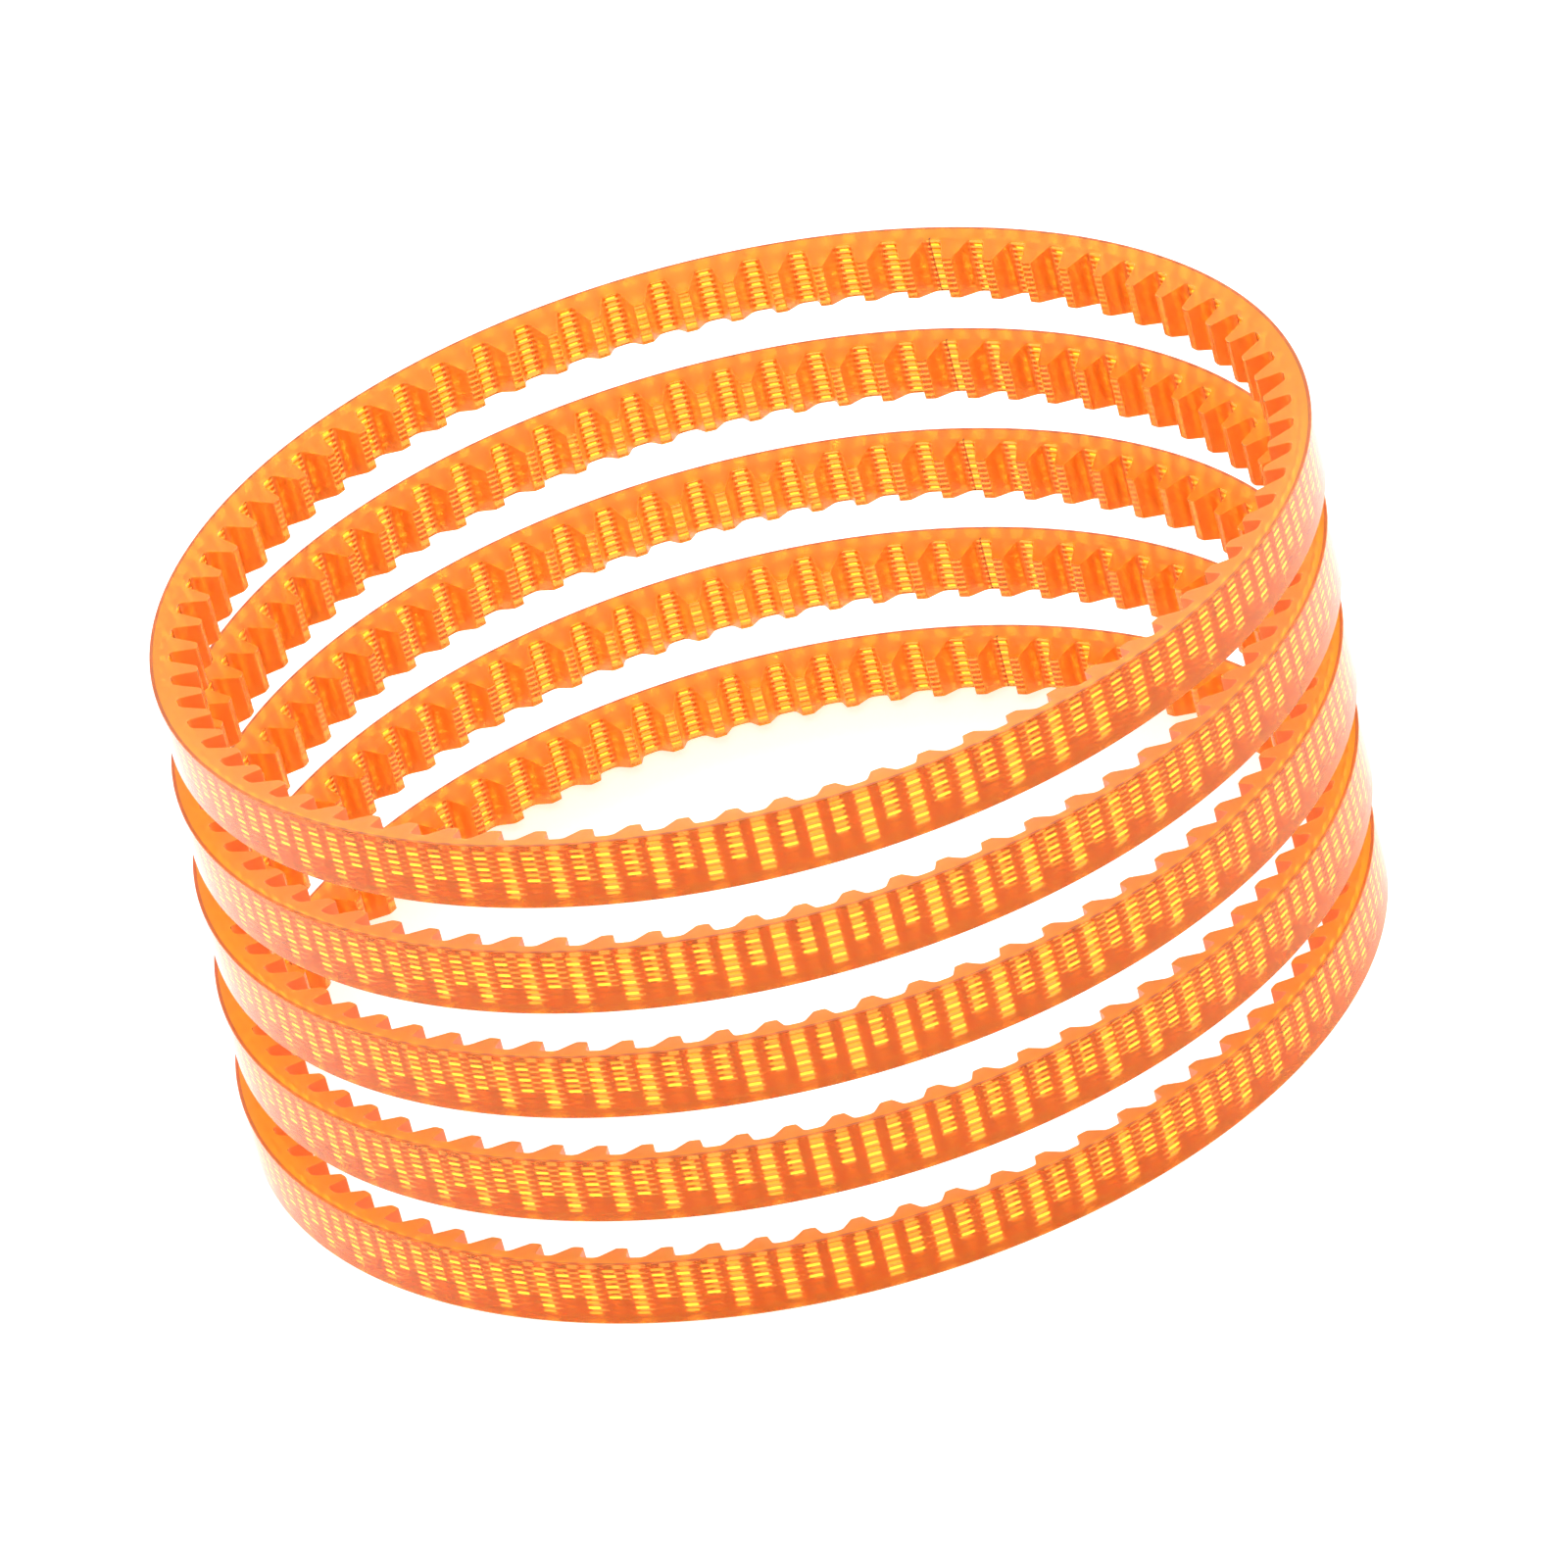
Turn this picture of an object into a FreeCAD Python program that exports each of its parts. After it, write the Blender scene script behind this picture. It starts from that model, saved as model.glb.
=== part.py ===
import FreeCAD, Part
import math
import os

import Sketcher

# A set of five identical cogged polyurethane V belts, lying one above the other.
# Each belt is an endless casting with 72 cogs on its inner side and two tension cords
# wound through its backing as a double-start helix. Millimetres, +Z along the belt axis.

DIMENSIONS = {
    "cog_count": 72,
    "cog_pitch": 5.08,            # along the cords
    "cord_depth": 1.2,            # cord centre below the outer face
    "belt_width": 7.0,            # across the outer face
    "belt_thickness": 4.65,       # outer face to cog tip
    "backing_thickness": 1.95,    # outer face to the floor between cogs
    "flank_angle": 15,            # each side of the V, degrees
    "land_width": 0.3,            # flat rim beside the outer face
    "cog_flank_angle": 18,        # each side of a cog, degrees
    "gap_floor": 0.84,            # straight part of the floor between two cogs
    "root_radius": 0.7,
    "tip_radius": 0.25,
    "tip_overrun": 1.0,           # how far the gap's cut runs past the cog tips
    "cord_radius": 0.18,
    "row_pitch": 0.62,            # between neighbouring cord rows
    "first_cog_angle": 3,         # cog nearest +X, degrees
    "belt_pitch": 11.85,          # from one belt to the next above it
    "belt_lean": 0.87,            # sideways step from one belt to the next above it
}
BELT_COUNT = 5
MIDDLE_LEVEL = (BELT_COUNT - 1) // 2
HALF_TURNS = 9
CORD_STARTS = {"s": 0, "z": 180}

CORD_LINE = "(sheet.cog_count * sheet.cog_pitch / (2 * pi))"
OUTER = f"({CORD_LINE} + sheet.cord_depth)"
TIP = f"({OUTER} - sheet.belt_thickness)"
ROOT = f"({OUTER} - sheet.backing_thickness)"

doc = FreeCAD.newDocument("v_belt_set")


def make_sheet():
    sheet = doc.addObject("Spreadsheet::Sheet", "sheet")
    for row, (alias, value) in enumerate(DIMENSIONS.items(), start=1):
        sheet.set(f"A{row}", alias)
        sheet.set(f"B{row}", str(value))
        sheet.setAlias(f"B{row}", alias)
    doc.recompute()
    return sheet


def vector(x, y, z=0.0):
    return FreeCAD.Vector(x, y, z)


def new_sketch(body, name, role):
    sketch = body.newObject("Sketcher::SketchObject", name)
    plane = next(o for o in body.Origin.OriginFeatures if o.Role == role)
    sketch.AttachmentSupport = [(plane, "")]
    sketch.MapMode = "FlatFace"
    return sketch


def add_lines(sketch, points):
    """A closed outline of straight lines."""
    count = len(points)
    for i in range(count):
        sketch.addGeometry(Part.LineSegment(points[i], points[(i + 1) % count]), False)
    for i in range(count):
        sketch.addConstraint(Sketcher.Constraint("Coincident", i, 2, (i + 1) % count, 1))


def drive(sketch, name, expression, *constraint):
    """Adds a dimension and binds it to the sheet."""
    index = sketch.addConstraint(Sketcher.Constraint(*constraint))
    sketch.renameConstraint(index, name)
    sketch.setExpression(f"Constraints.{name}", expression)


def v_section(body, name, size):
    """The belt's section before the gaps are cut, on the XZ plane."""
    sketch = new_sketch(body, name, "XZ_Plane")
    outer, tip, width = size.outer, size.tip, size.width
    inset = (size.thickness - size.land) * math.tan(size.flank)
    add_lines(sketch, [
        vector(outer, 0),
        vector(outer, width),
        vector(outer - size.land, width),
        vector(tip, width - inset),
        vector(tip, inset),
        vector(outer - size.land, 0),
    ])
    for line in (0, 3):
        sketch.addConstraint(Sketcher.Constraint("Vertical", line))
    for line in (1, 5):
        sketch.addConstraint(Sketcher.Constraint("Horizontal", line))
    sketch.addConstraint(Sketcher.Constraint("PointOnObject", 0, 1, -1))
    sketch.addConstraint(Sketcher.Constraint("Equal", 1, 5))
    sketch.addConstraint(Sketcher.Constraint("Equal", 2, 4))
    drive(sketch, "outer", OUTER, "DistanceX", -1, 1, 0, 1, outer)
    drive(sketch, "tip", TIP, "DistanceX", -1, 1, 3, 1, tip)
    drive(sketch, "width", "sheet.belt_width", "DistanceY", 0, 1, 0, 2, width)
    drive(sketch, "land", "sheet.land_width", "DistanceX", 5, 1, 5, 2, size.land)
    drive(sketch, "inset",
          "(sheet.belt_thickness - sheet.land_width) * tan(sheet.flank_angle * 1 deg)",
          "DistanceY", 5, 1, 4, 1, inset)
    return sketch


def gap_section(body, name, size):
    """One gap between two cogs, on the XY plane, with round roots and round cog tips."""
    sketch = new_sketch(body, name, "XY_Plane")
    slope = size.cog_flank
    cos, sin = math.cos(slope), math.sin(slope)
    half_floor = size.gap_floor / 2
    root_centre = vector(size.root - size.root_radius, half_floor)
    wall_start = root_centre + vector(sin, cos) * size.root_radius
    wall_x = size.tip + size.tip_radius * (1 - sin)
    wall_end = vector(wall_x, wall_start.y + (wall_start.x - wall_x) * math.tan(slope))
    tip_centre = wall_end + vector(sin, cos) * size.tip_radius
    corner = vector(size.tip, tip_centre.y)
    end_x = size.tip - size.overrun
    axis = vector(0, 0, 1)

    def arc(centre, radius, first, last):
        return Part.ArcOfCircle(Part.Circle(centre, axis, radius), first, last)

    def flip(point):
        return vector(point.x, -point.y)

    right, full = math.pi / 2, math.pi
    geometry = [
        Part.LineSegment(flip(vector(size.root, half_floor)), vector(size.root, half_floor)),
        arc(root_centre, size.root_radius, 0, right - slope),
        Part.LineSegment(wall_start, wall_end),
        arc(tip_centre, size.tip_radius, full, full + right - slope),
        Part.LineSegment(corner, vector(end_x, corner.y)),
        Part.LineSegment(vector(end_x, corner.y), vector(end_x, -corner.y)),
        Part.LineSegment(vector(end_x, -corner.y), flip(corner)),
        arc(flip(tip_centre), size.tip_radius, right + slope, full),
        Part.LineSegment(flip(wall_end), flip(wall_start)),
        arc(flip(root_centre), size.root_radius, slope - right, 0),
    ]
    for item in geometry:
        sketch.addGeometry(item, False)
    for first, first_end, second, second_end in (
        (0, 2, 1, 1), (1, 2, 2, 1), (2, 2, 3, 2),
        (0, 1, 9, 2), (9, 1, 8, 2), (8, 1, 7, 1),
    ):
        sketch.addConstraint(Sketcher.Constraint("Tangent", first, first_end, second, second_end))
    for first, first_end, second, second_end in ((3, 1, 4, 1), (4, 2, 5, 1), (5, 2, 6, 1), (6, 2, 7, 2)):
        sketch.addConstraint(Sketcher.Constraint("Coincident", first, first_end, second, second_end))
    sketch.addConstraint(Sketcher.Constraint("Symmetric", 0, 1, 0, 2, -1))
    sketch.addConstraint(Sketcher.Constraint("Symmetric", 5, 1, 5, 2, -1))
    for line in (4, 6):
        sketch.addConstraint(Sketcher.Constraint("Horizontal", line))
    for round_edge, end in ((3, 1), (7, 2)):
        sketch.addConstraint(Sketcher.Constraint("Horizontal", round_edge, 3, round_edge, end))
    sketch.addConstraint(Sketcher.Constraint("Equal", 1, 9))
    sketch.addConstraint(Sketcher.Constraint("Equal", 3, 7))
    sketch.addConstraint(Sketcher.Constraint("Equal", 2, 8))
    drive(sketch, "root", ROOT, "DistanceX", -1, 1, 0, 2, size.root)
    drive(sketch, "floor", "sheet.gap_floor", "DistanceY", 0, 1, 0, 2, size.gap_floor)
    drive(sketch, "root_radius", "sheet.root_radius", "Radius", 1, size.root_radius)
    drive(sketch, "tip_radius", "sheet.tip_radius", "Radius", 3, size.tip_radius)
    drive(sketch, "tip", TIP, "DistanceX", -1, 1, 4, 1, size.tip)
    drive(sketch, "end", f"{TIP} - sheet.tip_overrun", "DistanceX", -1, 1, 5, 1, end_x)
    drive(sketch, "slope", "180 deg - sheet.cog_flank_angle * 1 deg", "Angle", 2, full - slope)
    return sketch


class Size:
    """The driving dimensions as numbers, for where a sketch's lines start from."""

    def __init__(self, sheet):
        cord_line = sheet.cog_count * sheet.cog_pitch / (2 * math.pi)
        self.cord_line = cord_line
        self.outer = cord_line + sheet.cord_depth
        self.tip = self.outer - sheet.belt_thickness
        self.root = self.outer - sheet.backing_thickness
        self.width = sheet.belt_width
        self.thickness = sheet.belt_thickness
        self.land = sheet.land_width
        self.flank = math.radians(sheet.flank_angle)
        self.cog_flank = math.radians(sheet.cog_flank_angle)
        self.gap_floor = sheet.gap_floor
        self.root_radius = sheet.root_radius
        self.tip_radius = sheet.tip_radius
        self.overrun = sheet.tip_overrun


def place_belt(item, level):
    """Puts an object at the height and sideways step of its belt."""
    item.setExpression("Placement.Base.x", f"sheet.belt_lean * {level - MIDDLE_LEVEL}")
    item.setExpression("Placement.Base.z", f"sheet.belt_pitch * {level}")


def make_blank(name, level, size):
    """The casting without its cord channels: a V ring with a gap cut between all cogs."""
    body = doc.addObject("PartDesign::Body", f"{name}_blank")
    section = v_section(body, f"{name}_section", size)
    ring = body.newObject("PartDesign::Revolution", f"{name}_ring")
    ring.Profile = section
    ring.ReferenceAxis = (section, ["V_Axis"])
    ring.Angle = 360
    doc.recompute()
    ring_volume = ring.Shape.Volume

    gap = body.newObject("PartDesign::Pocket", f"{name}_gap")
    gap.Profile = gap_section(body, f"{name}_gap_section", size)
    gap.Type = "Length"
    gap.setExpression("Length", "sheet.belt_width")
    gap.Reversed = True
    doc.recompute()
    if gap.Shape.Volume >= ring_volume:
        raise RuntimeError(f"{name}: the gap cuts nothing")

    gaps = body.newObject("PartDesign::PolarPattern", f"{name}_gaps")
    gaps.Originals = [gap]
    z_axis = next(o for o in body.Origin.OriginFeatures if o.Role == "Z_Axis")
    gaps.Axis = (z_axis, [""])
    gaps.Angle = 360
    gaps.setExpression("Occurrences", "sheet.cog_count")
    body.Tip = gaps
    section.Visibility = False
    place_belt(body, level)
    body.Placement.Rotation = FreeCAD.Rotation(vector(0, 0, 1), 0)
    body.setExpression("Placement.Rotation.Angle",
                       "sheet.first_cog_angle * 1 deg + 180 deg / sheet.cog_count")
    return body


def make_cord(name, level, start, size, sheet):
    """One continuous cord. Each half turn is a half ring tilted about its ends, so that it
    climbs by one row, and the next half ring leaves its end in the same direction."""
    climb = sheet.row_pitch
    tilt = math.degrees(math.atan2(climb / 2, size.cord_line))
    lowest = (size.width - HALF_TURNS * climb) / 2
    halves = []
    for turn in range(HALF_TURNS):
        half = doc.addObject("Part::Torus", f"{name}_half_{turn + 1}")
        half.setExpression("Radius1", f"hypot({CORD_LINE}; sheet.row_pitch / 2) * 1 mm")
        half.setExpression("Radius2", "sheet.cord_radius")
        half.Angle3 = 180
        spin = FreeCAD.Rotation(vector(0, 0, 1), start + 180 * turn)
        lean = FreeCAD.Rotation(vector(0, 1, 0), tilt)
        half.Placement = FreeCAD.Placement(
            vector(0, 0, lowest + (turn + 0.5) * climb), spin.multiply(lean))
        half.setExpression(
            "Placement.Base.z",
            f"(sheet.belt_width + sheet.row_pitch * {2 * turn + 1 - HALF_TURNS}) / 2")
        halves.append(half)
    cord = doc.addObject("Part::MultiFuse", name)
    cord.Shapes = halves
    cord.Label = name
    place_belt(cord, level)
    return cord


def make_belt(number, size, sheet):
    """The casting and its two cords."""
    level = number - 1
    name = f"belt_{number}"
    blank = make_blank(name, level, size)
    cords = [
        make_cord(f"{name}_cord_{key}", level, start, size, sheet)
        for key, start in CORD_STARTS.items()
    ]
    solid = blank
    for key, cord in zip(CORD_STARTS, cords):
        channel = doc.addObject("Part::Cut", f"{name}_channel_{key}")
        channel.Base = solid
        channel.Tool = cord
        solid = channel
    solid.Label = f"{name}_casting"
    return [solid, *cords]


def check(objects, sub_parts):
    for item in objects:
        if any(word in item.State for word in ("Invalid", "Error")):
            raise RuntimeError(f"{item.Name}: {item.State}")
    for item in sub_parts:
        shape = item.Shape
        if shape.isNull() or not shape.isValid() or len(shape.Solids) != 1:
            raise RuntimeError(f"{item.Label}: not one valid solid")


def main():
    sheet = make_sheet()
    size = Size(sheet)
    sub_parts = []
    for number in range(1, BELT_COUNT + 1):
        sub_parts += make_belt(number, size, sheet)
    doc.recompute()
    check(doc.Objects, sub_parts)
    os.makedirs("parts", exist_ok=True)
    for item in sub_parts:
        item.Shape.exportStep(f"parts/{item.Label}.step")
        box = item.Shape.BoundBox
        print(f"{item.Label}: {item.Shape.Volume:.1f} mm3, z {box.ZMin:.2f} to {box.ZMax:.2f}")


main()
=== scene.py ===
import math

import bpy
from mathutils import Matrix, Vector


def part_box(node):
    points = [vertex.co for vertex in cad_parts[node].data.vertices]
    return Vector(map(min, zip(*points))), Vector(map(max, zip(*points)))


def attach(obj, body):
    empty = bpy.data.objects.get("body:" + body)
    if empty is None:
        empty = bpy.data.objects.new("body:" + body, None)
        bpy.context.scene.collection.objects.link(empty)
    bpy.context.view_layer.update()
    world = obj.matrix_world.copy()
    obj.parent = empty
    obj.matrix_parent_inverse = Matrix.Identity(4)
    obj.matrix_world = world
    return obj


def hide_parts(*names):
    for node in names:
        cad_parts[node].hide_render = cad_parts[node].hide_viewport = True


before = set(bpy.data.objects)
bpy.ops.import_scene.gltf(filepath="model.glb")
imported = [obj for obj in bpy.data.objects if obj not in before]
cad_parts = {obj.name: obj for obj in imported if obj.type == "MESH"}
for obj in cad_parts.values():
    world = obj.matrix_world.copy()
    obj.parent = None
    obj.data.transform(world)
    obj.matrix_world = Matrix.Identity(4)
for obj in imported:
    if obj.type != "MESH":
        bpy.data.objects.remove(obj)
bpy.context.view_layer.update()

# Looks of a set of five translucent cogged V belts. Metres, in the CAD model's frame.

MM = 0.001

# The belt's section and its cogs. The outer radius and the width come from the frame.
BELTS = [f"belt_{n}" for n in range(1, 6)]
COG_COUNT = 72
LAND = 0.3 * MM                             # flat rim beside the outer face
THICKNESS = 4.65 * MM                       # outer face to cog tip
BACKING = 1.95 * MM                         # outer face to the floor between two cogs
FLANK_SLOPE = math.tan(math.radians(15))    # of the V
COG_FLANK = math.radians(18)
GAP_FLOOR = 0.84 * MM                       # flat floor between two cogs
ROOT_RADIUS = 0.7 * MM
TIP_RADIUS = 0.25 * MM
FIRST_COG = math.radians(3)
EDGE_ROUND = 0.07 * MM
ARC_STEPS = 5
SMOOTH_BELOW = math.radians(32)
BEVEL_ABOVE = math.radians(35)

# A dark line that crosses the inner side of each belt once.
PARTING_ANGLE = math.radians(60.9)
PARTING_HALF_WIDTH = 0.09 * MM
PARTING_FROM = 0.85 * BACKING               # below the outer face

# The finish of the casting. The outer face is polished, the flanks and cog walls are matte.
# The same facings also set painted light and shade in the casting's colour.
COG_WALL_FACING = (0.2, 0.6)                # polished to matte; straight along the belt has 1
FLANK_FACING = (0.5, 0.8)                   # polished to matte; straight up or down has 1
TIP_MATTENESS = 0.3                         # of the cog tips, where a cog wall has 1
CLEAR_TRANSMISSION = 0.85
MATTE_TRANSMISSION_LOSS = 0.35
MATTE_ROUGHNESS = 0.35                      # on top of the polished face's

# Where a cord is painted lit, brighter and glowing. A bias is added on its outer half and taken off on
# its inner half.
COLUMN_EDGE = (-0.1, 0.3)                   # dark to lit; the middle of a flat has 1
COLUMN_BIAS = 0.2
UPWARD_EDGE = (0.525, 0.725)                # lit to dark; straight up has 1
UPWARD_BIAS = -0.175
SHADED_SHARE = 0.32                         # of the width, painted in shade behind each cog

# The yarn: the strand pattern along the cord, its lean, and how deep it is.
STRAND_PATTERN = 1500.0
STRAND_LEAN = 40.0
STRAND_DEPTH = 0.2
YARN_SURFACE = 0.2                          # the rest of the light goes through the yarn

# The camera: a long lens, above the belts, rolled so that the stack leans to the left.
CAMERA_ELEVATION = math.radians(29.1)
CAMERA_ROLL = math.radians(15.1)
CAMERA_DISTANCE = 1.1
CAMERA_LENS = 250.75
CAMERA_TARGET = Vector((0.0005, -0.0018, 0.0251))

# The studio: a wide pale floor under an even sky, with a soft lamp on each side at the back.
# The floor glows a little, in place of light from below.
FLOOR_REACH = 3.0
FLOOR_GLOW = 0.65
SKY_STRENGTH = 0.95
LAMP_SIDE, LAMP_BACK, LAMP_HEIGHT = 0.75, 0.7, 0.42
LAMP_SIZE = 0.8
LAMP_POWER = 7.0
LAMP_TARGET = Vector((0.0, 0.0, 0.03))


# ---------------------------------------------------------------- node helpers

def new_material(name):
    material = bpy.data.materials.new(name)
    material.use_nodes = True
    tree = material.node_tree
    return material, tree, tree.nodes["Principled BSDF"]


def add_node(tree, kind, values=None, **settings):
    node = tree.nodes.new(kind)
    for key, value in settings.items():
        setattr(node, key, value)
    for key, value in (values or {}).items():
        node.inputs[key].default_value = value
    return node


def coordinates(tree, kind):
    """The three coordinates of the shaded point, Object or Generated."""
    place = add_node(tree, "ShaderNodeTexCoord")
    split = add_node(tree, "ShaderNodeSeparateXYZ")
    tree.links.new(place.outputs[kind], split.inputs["Vector"])
    return [split.outputs[axis] for axis in "XYZ"]


def noise(tree, scale, detail=3.0):
    """A noise that stays with the object, in metres."""
    place = add_node(tree, "ShaderNodeTexCoord")
    texture = add_node(tree, "ShaderNodeTexNoise", {"Scale": scale, "Detail": detail})
    tree.links.new(place.outputs["Object"], texture.inputs["Vector"])
    return texture.outputs["Fac"]


def spread(tree, value, low, high):
    """Maps a 0 to 1 value to the range low to high."""
    node = add_node(tree, "ShaderNodeMapRange", {"To Min": low, "To Max": high})
    tree.links.new(value, node.inputs["Value"])
    return node.outputs["Result"]


def smooth_step(tree, value, low, high):
    """0 below low, 1 above high, and a smooth rise between."""
    node = add_node(tree, "ShaderNodeMapRange", {"From Min": low, "From Max": high},
                    interpolation_type="SMOOTHSTEP")
    tree.links.new(value, node.inputs["Value"])
    return node.outputs["Result"]


def calc(tree, operation, first, second=None, third=None):
    """A math node; each operand is a number or an output."""
    node = add_node(tree, "ShaderNodeMath", operation=operation)
    for socket, operand in zip(node.inputs, (first, second, third)):
        if isinstance(operand, (int, float)):
            socket.default_value = operand
        elif operand is not None:
            tree.links.new(operand, socket)
    return node.outputs["Value"]


def one_minus(tree, value):
    return calc(tree, "SUBTRACT", 1.0, value)


def colour_ramp(tree, value, stops):
    """A ramp through pairs of position and colour, the first at 0 and the last at 1."""
    node = add_node(tree, "ShaderNodeValToRGB")
    elements = node.color_ramp.elements
    elements[0].color = stops[0][1]
    elements[1].color = stops[-1][1]
    for position, colour in stops[1:-1]:
        elements.new(position).color = colour
    tree.links.new(value, node.inputs["Fac"])
    return node.outputs["Color"]


def tinted(tree, base, colour, amount):
    """The base colour, turned towards a second colour by an amount from 0 to 1."""
    node = add_node(tree, "ShaderNodeMix", data_type="RGBA")
    sockets = {socket.identifier: socket for socket in node.inputs}
    tree.links.new(amount, sockets["Factor_Float"])
    tree.links.new(base, sockets["A_Color"])
    sockets["B_Color"].default_value = colour
    return [socket for socket in node.outputs if socket.identifier == "Result_Color"][0]


def normal_along(tree, x, y):
    """How far the surface faces along a level direction, from -1 to 1."""
    along = add_node(tree, "ShaderNodeCombineXYZ")
    tree.links.new(x, along.inputs["X"])
    tree.links.new(y, along.inputs["Y"])
    facing = add_node(tree, "ShaderNodeVectorMath", operation="DOT_PRODUCT")
    tree.links.new(add_node(tree, "ShaderNodeNewGeometry").outputs["Normal"], facing.inputs[0])
    tree.links.new(along.outputs["Vector"], facing.inputs[1])
    return facing.outputs["Value"]


def normal_up(tree):
    """How far the surface faces upwards, from -1 to 1."""
    split = add_node(tree, "ShaderNodeSeparateXYZ")
    tree.links.new(add_node(tree, "ShaderNodeNewGeometry").outputs["Normal"], split.inputs["Vector"])
    return split.outputs["Z"]


def add_bump(tree, shader, height, distance, strength):
    bump = add_node(tree, "ShaderNodeBump", {"Strength": strength, "Distance": distance})
    tree.links.new(height, bump.inputs["Height"])
    tree.links.new(bump.outputs["Normal"], shader.inputs["Normal"])


# ---------------------------------------------------------------- materials

def polyurethane(outer):
    """Clear orange casting, matte on its flanks and cog walls, so that the cords show
    through the outer face, the floors between the cogs and, less, the cog tips.
    """
    material, tree, shader = new_material("orange_polyurethane")
    x, y, _ = coordinates(tree, "Object")
    angle = calc(tree, "ARCTAN2", y, x)
    radius = calc(tree, "SQRT", calc(tree, "MULTIPLY_ADD", x, x, calc(tree, "MULTIPLY", y, y)))

    onward_x = calc(tree, "MULTIPLY", calc(tree, "SINE", angle), -1.0)
    onward = normal_along(tree, onward_x, calc(tree, "COSINE", angle))
    cog_wall = smooth_step(tree, calc(tree, "ABSOLUTE", onward), *COG_WALL_FACING)
    flank = smooth_step(tree, calc(tree, "ABSOLUTE", normal_up(tree)), *FLANK_FACING)
    tip = calc(tree, "LESS_THAN", radius, outer - THICKNESS + TIP_RADIUS)
    matte = calc(tree, "MAXIMUM", cog_wall, flank)
    matte = calc(tree, "MAXIMUM", matte, calc(tree, "MULTIPLY", tip, TIP_MATTENESS))
    polish = spread(tree, noise(tree, 900.0), 0.02, 0.06)
    roughness = calc(tree, "MULTIPLY_ADD", matte, MATTE_ROUGHNESS, polish)
    tree.links.new(roughness, shader.inputs["Roughness"])
    clear = calc(tree, "MULTIPLY_ADD", matte, -MATTE_TRANSMISSION_LOSS, CLEAR_TRANSMISSION)
    tree.links.new(clear, shader.inputs["Transmission Weight"])

    on_rim = calc(tree, "GREATER_THAN", radius, outer - LAND - EDGE_ROUND)
    land = calc(tree, "MULTIPLY", on_rim, flank)
    off_line = calc(tree, "ABSOLUTE", calc(tree, "SUBTRACT", angle, PARTING_ANGLE))
    on_line = calc(tree, "LESS_THAN", off_line, PARTING_HALF_WIDTH / outer)
    inner_side = calc(tree, "LESS_THAN", radius, outer - PARTING_FROM)
    parting = calc(tree, "MULTIPLY", on_line, inner_side)
    cloud = noise(tree, 260.0, 4.0)
    colour = colour_ramp(tree, cloud, [(0.0, (0.98, 0.37, 0.055, 1.0)), (1.0, (0.98, 0.46, 0.08, 1.0))])
    # Painted light and shade: cog walls deeper red as painted shade, flanks yellower as painted light,
    # and the rim beside the outer face dark mauve red as a painted reflection band. The parting line is
    # the belt's own dark line.
    for where, amount, tint in (
            (cog_wall, 0.5, (0.86, 0.24, 0.035, 1.0)),
            (flank, 0.7, (0.98, 0.43, 0.02, 1.0)),
            (land, 0.8, (0.45, 0.12, 0.07, 1.0)),
            (parting, 0.9, (0.20, 0.05, 0.02, 1.0))):
        colour = tinted(tree, colour, tint, calc(tree, "MULTIPLY", where, amount))
    tree.links.new(colour, shader.inputs["Base Color"])

    shader.inputs["IOR"].default_value = 1.49
    shader.inputs["Subsurface Weight"].default_value = 1.0
    shader.inputs["Subsurface Radius"].default_value = (1.0, 0.4, 0.1)
    shader.inputs["Subsurface Scale"].default_value = 1.0 * MM
    shader.inputs["Specular Tint"].default_value = (0.5, 0.4, 0.35, 1.0)
    grain = noise(tree, 1200.0)
    add_bump(tree, shader, grain, distance=0.01 * MM, strength=0.15)
    absorption = add_node(tree, "ShaderNodeVolumeAbsorption",
                          {"Color": (0.99, 0.80, 0.40, 1.0), "Density": 100.0})
    output = tree.nodes["Material Output"]
    tree.links.new(absorption.outputs["Volume"], output.inputs["Volume"])
    return material


def lit_parts(tree, angle, z):
    """A painted-light mask: 1 where light would come straight through the casting to the cord, 0
    elsewhere.

    The light comes in by the flat floors between the cogs, over the whole width, and by the
    flat cog tips, over the part away from one rim. The cord's upper side, seen through a
    flank, is left out.
    """
    outward = normal_along(tree, calc(tree, "COSINE", angle), calc(tree, "SINE", angle))
    half = calc(tree, "SIGN", outward)          # 1 on the cord's outer half, -1 on its inner
    from_cog = calc(tree, "SUBTRACT", angle, FIRST_COG)
    cog = calc(tree, "COSINE", calc(tree, "MULTIPLY", from_cog, float(COG_COUNT)))
    flat = calc(tree, "COSINE", calc(tree, "MULTIPLY", from_cog, 2.0 * COG_COUNT))

    column = calc(tree, "MULTIPLY_ADD", half, COLUMN_BIAS, flat)
    column = smooth_step(tree, column, *COLUMN_EDGE)
    upward = calc(tree, "MULTIPLY_ADD", half, UPWARD_BIAS, normal_up(tree))
    sideways = one_minus(tree, smooth_step(tree, upward, *UPWARD_EDGE))
    height = calc(tree, "MULTIPLY_ADD", half, calc(tree, "SUBTRACT", z, 0.5), 0.5)
    low_row = calc(tree, "LESS_THAN", height, SHADED_SHARE)
    shaded = calc(tree, "MULTIPLY", low_row, calc(tree, "GREATER_THAN", cog, 0.0))
    lit = calc(tree, "MULTIPLY", column, sideways)
    return calc(tree, "MULTIPLY", lit, one_minus(tree, shaded))


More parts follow.
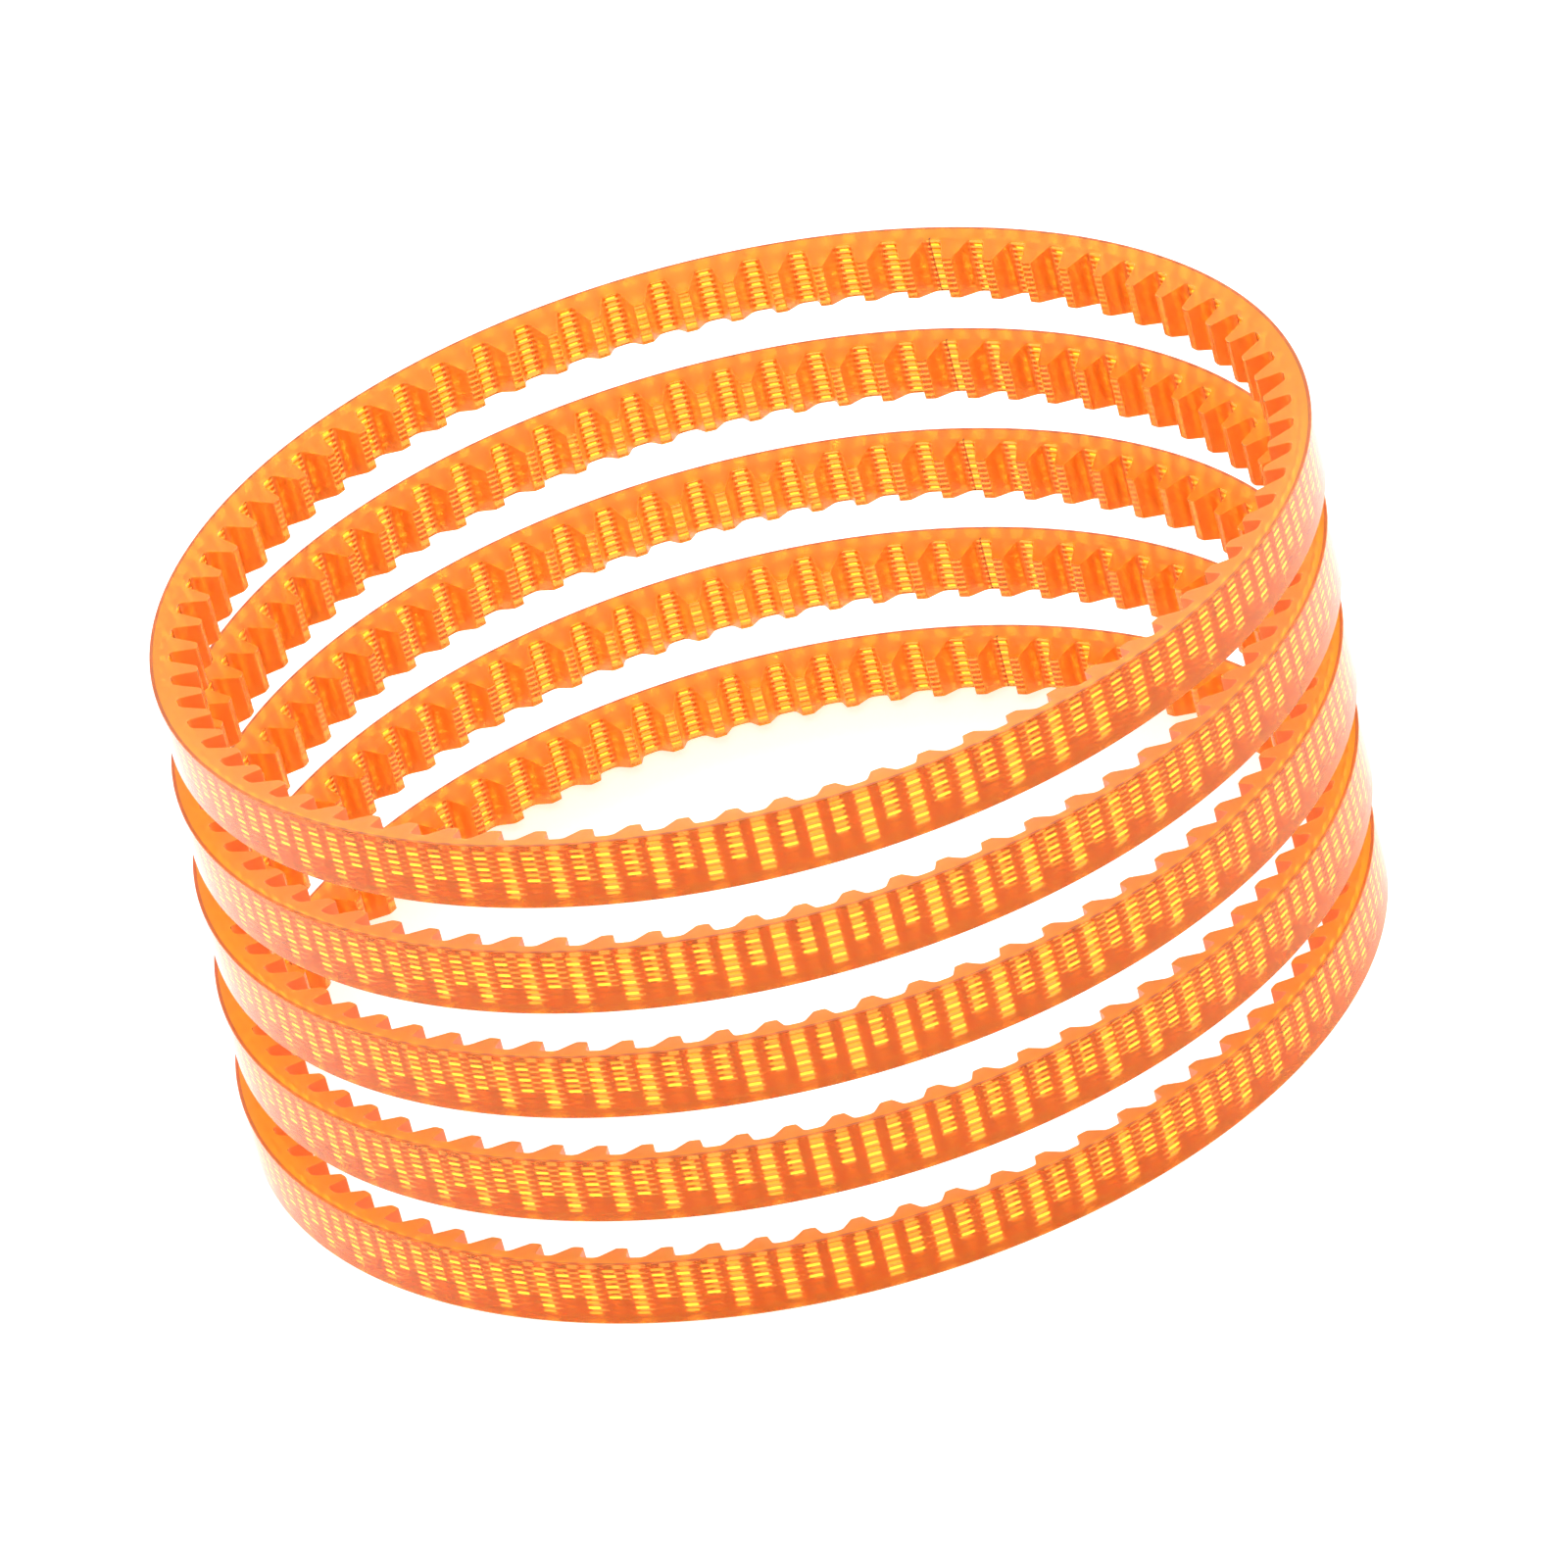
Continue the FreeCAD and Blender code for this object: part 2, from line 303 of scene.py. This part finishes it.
def cord_yarn(name, glow, lit_colour_low, lit_colour_high):
    """Golden twisted yarn. Its painted lit colours and its glow stand in for light from behind the
    belt; its shaded colour is painted shade.
    """
    # Painted shade: the yarn's colour where no painted light falls.
    shaded_colour = (0.92, 0.48, 0.11, 1.0)
    material, tree, shader = new_material(name)
    x, y, z = coordinates(tree, "Generated")
    angle = calc(tree, "ARCTAN2", calc(tree, "SUBTRACT", y, 0.5), calc(tree, "SUBTRACT", x, 0.5))
    lit = lit_parts(tree, angle, z)

    lean = calc(tree, "MULTIPLY", z, STRAND_LEAN)
    twist = calc(tree, "SINE", calc(tree, "MULTIPLY_ADD", angle, STRAND_PATTERN, lean))
    strand = calc(tree, "MULTIPLY_ADD", twist, STRAND_DEPTH, 1.0 - STRAND_DEPTH)
    shine = calc(tree, "MULTIPLY", lit, strand)
    colour = colour_ramp(tree, shine, [(0.0, shaded_colour), (0.6, lit_colour_low), (1.0, lit_colour_high)])
    tree.links.new(colour, shader.inputs["Base Color"])
    shader.inputs["Roughness"].default_value = 0.5
    shader.inputs["Emission Color"].default_value = (1.0, 0.88, 0.18, 1.0)
    strength = calc(tree, "MULTIPLY", lit, glow / YARN_SURFACE)
    tree.links.new(strength, shader.inputs["Emission Strength"])

    through = add_node(tree, "ShaderNodeBsdfTranslucent")
    tree.links.new(colour, through.inputs["Color"])
    mix = add_node(tree, "ShaderNodeMixShader", {"Fac": YARN_SURFACE})
    tree.links.new(through.outputs["BSDF"], mix.inputs[1])
    tree.links.new(shader.outputs["BSDF"], mix.inputs[2])
    tree.links.new(mix.outputs["Shader"], tree.nodes["Material Output"].inputs["Surface"])
    return material


def floor_paint():
    material, tree, shader = new_material("studio_floor")
    tone = spread(tree, noise(tree, 6.0, 2.0), 0.78, 0.82)
    tree.links.new(tone, shader.inputs["Base Color"])
    shader.inputs["Roughness"].default_value = 0.85
    shader.inputs["Specular IOR Level"].default_value = 0.1
    shader.inputs["Emission Color"].default_value = (1.0, 1.0, 1.0, 1.0)
    shader.inputs["Emission Strength"].default_value = FLOOR_GLOW
    return material


# ---------------------------------------------------------------- belts

def on_arc(centre, radius, turn):
    return centre[0] + radius * math.cos(turn), centre[1] + radius * math.sin(turn)


def half_gap(outer):
    """Points (angle from the gap's middle, radius) from the floor's middle to the cog's middle."""
    root, tip = outer - BACKING, outer - THICKNESS
    sin, cos = math.sin(COG_FLANK), math.cos(COG_FLANK)
    bend = math.pi / 2 - COG_FLANK
    points = [(root, 0.0), (root, GAP_FLOOR / 2)]
    centre = (root - ROOT_RADIUS, GAP_FLOOR / 2)
    for i in range(1, ARC_STEPS + 1):
        points.append(on_arc(centre, ROOT_RADIUS, bend * i / ARC_STEPS))
    wall = points[-1]
    wall_x = tip + TIP_RADIUS * (1 - sin)
    wall_y = wall[1] + (wall[0] - wall_x) * math.tan(COG_FLANK)
    points.append(((wall[0] + wall_x) / 2, (wall[1] + wall_y) / 2))
    centre = (wall_x + TIP_RADIUS * sin, wall_y + TIP_RADIUS * cos)
    for i in range(ARC_STEPS + 1):
        turn = 1.5 * math.pi - COG_FLANK - bend * i / ARC_STEPS
        points.append(on_arc(centre, TIP_RADIUS, turn))
    polar = [(math.atan2(y, x), max(math.hypot(x, y), tip)) for x, y in points]
    half_pitch = math.pi / COG_COUNT
    polar.append(((polar[-1][0] + half_pitch) / 2, tip))
    polar.append((half_pitch, tip))
    return polar


def belt_mesh(outer, width):
    """The casting about its own axis, with its lower rim at zero height."""
    half = half_gap(outer)
    pitch = 2 * math.pi / COG_COUNT
    whole = [(-angle, radius) for angle, radius in reversed(half[1:-1])] + half
    verts, faces = [], []
    for cog in range(COG_COUNT):
        middle = FIRST_COG + pitch * (cog + 0.5)
        for angle, radius in whole:
            rise = (outer - LAND - radius) * FLANK_SLOPE
            section = [
                (outer, 0.0), (outer, width), (outer - LAND, width),
                (radius, width - rise), (radius, rise), (outer - LAND, 0.0),
            ]
            cos, sin = math.cos(middle + angle), math.sin(middle + angle)
            verts += [(r * cos, r * sin, z) for r, z in section]
    side = len(section)
    columns = len(verts) // side
    for i in range(columns):
        here, there = i * side, (i + 1) % columns * side
        for k in range(side):
            after = (k + 1) % side
            faces.append((here + k, there + k, there + after, here + after))
    mesh = bpy.data.meshes.new("belt_casting")
    mesh.from_pydata(verts, [], faces)
    mesh.validate()
    mesh.polygons.foreach_set("use_smooth", [True] * len(mesh.polygons))
    mesh.set_sharp_from_angle(angle=SMOOTH_BELOW)
    return mesh


def round_edges(belt):
    bevel = belt.modifiers.new("edges", "BEVEL")
    bevel.width = EDGE_ROUND
    bevel.segments = 2
    bevel.limit_method = "ANGLE"
    bevel.angle_limit = BEVEL_ABOVE
    bevel.harden_normals = True


def make_belts():
    yarns = {
        # Painted light: the S cords get a stronger glow and brighter lit colours than the Z cords.
        "s": cord_yarn("golden_cord_s", glow=1.35,
                       lit_colour_low=(1.0, 0.78, 0.06, 1.0), lit_colour_high=(1.0, 0.95, 0.20, 1.0)),
        "z": cord_yarn("golden_cord_z", glow=0.6,
                       lit_colour_low=(1.0, 0.60, 0.10, 1.0), lit_colour_high=(1.0, 0.72, 0.20, 1.0)),
    }
    low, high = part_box("belt_1_casting")
    outer, width = (high[0] - low[0]) / 2, high[2] - low[2]
    mesh = belt_mesh(outer, width)
    mesh.materials.append(polyurethane(outer))
    for name in BELTS:
        low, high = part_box(f"{name}_casting")
        belt = bpy.data.objects.new(f"{name}_molding", mesh)
        bpy.context.collection.objects.link(belt)
        belt.location = ((low[0] + high[0]) / 2, (low[1] + high[1]) / 2, low[2])
        round_edges(belt)
        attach(belt, name)
        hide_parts(f"{name}_casting")
        for key, yarn in yarns.items():
            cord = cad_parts[f"{name}_cord_{key}"]
            for slot in cord.material_slots:
                slot.material = yarn


# ---------------------------------------------------------------- studio

def make_floor():
    signs = [(-1, -1), (1, -1), (1, 1), (-1, 1)]
    corners = [(x * FLOOR_REACH, y * FLOOR_REACH, 0) for x, y in signs]
    mesh = bpy.data.meshes.new("studio_floor")
    mesh.from_pydata(corners, [], [(0, 1, 2, 3)])
    mesh.materials.append(floor_paint())
    floor = bpy.data.objects.new("studio_floor", mesh)
    bpy.context.collection.objects.link(floor)


def make_lamp(name, place):
    data = bpy.data.lights.new(name, "AREA")
    data.shape = "DISK"
    data.size = LAMP_SIZE
    data.energy = LAMP_POWER
    lamp = bpy.data.objects.new(name, data)
    bpy.context.collection.objects.link(lamp)
    lamp.location = place
    aim = LAMP_TARGET - place
    lamp.rotation_euler = aim.to_track_quat("-Z", "Y").to_euler()


def make_studio():
    make_floor()
    for name, side in (("back_left", -1), ("back_right", 1)):
        make_lamp(name, Vector((side * LAMP_SIDE, LAMP_BACK, LAMP_HEIGHT)))
    world = bpy.data.worlds.new("studio")
    world.use_nodes = True
    sky = world.node_tree.nodes["Background"]
    sky.inputs["Color"].default_value = (1.0, 1.0, 1.0, 1.0)
    sky.inputs["Strength"].default_value = SKY_STRENGTH
    bpy.context.scene.world = world
    bpy.context.scene.view_settings.view_transform = "Standard"


def make_camera():
    sin, cos = math.sin(CAMERA_ELEVATION), math.cos(CAMERA_ELEVATION)
    away = Vector((0, cos, -sin))
    across, up = Vector((1, 0, 0)), Vector((0, sin, cos))
    top = across * math.sin(CAMERA_ROLL) + up * math.cos(CAMERA_ROLL)
    side = away.cross(top)
    data = bpy.data.cameras.new("camera")
    data.lens = CAMERA_LENS
    data.sensor_width = 36.0
    data.clip_start = 0.01
    camera = bpy.data.objects.new("camera", data)
    bpy.context.collection.objects.link(camera)
    turn = Matrix((side, top, -away)).transposed()
    place = Matrix.Translation(CAMERA_TARGET - away * CAMERA_DISTANCE)
    camera.matrix_world = place @ turn.to_4x4()
    bpy.context.scene.camera = camera


make_belts()
make_studio()
make_camera()
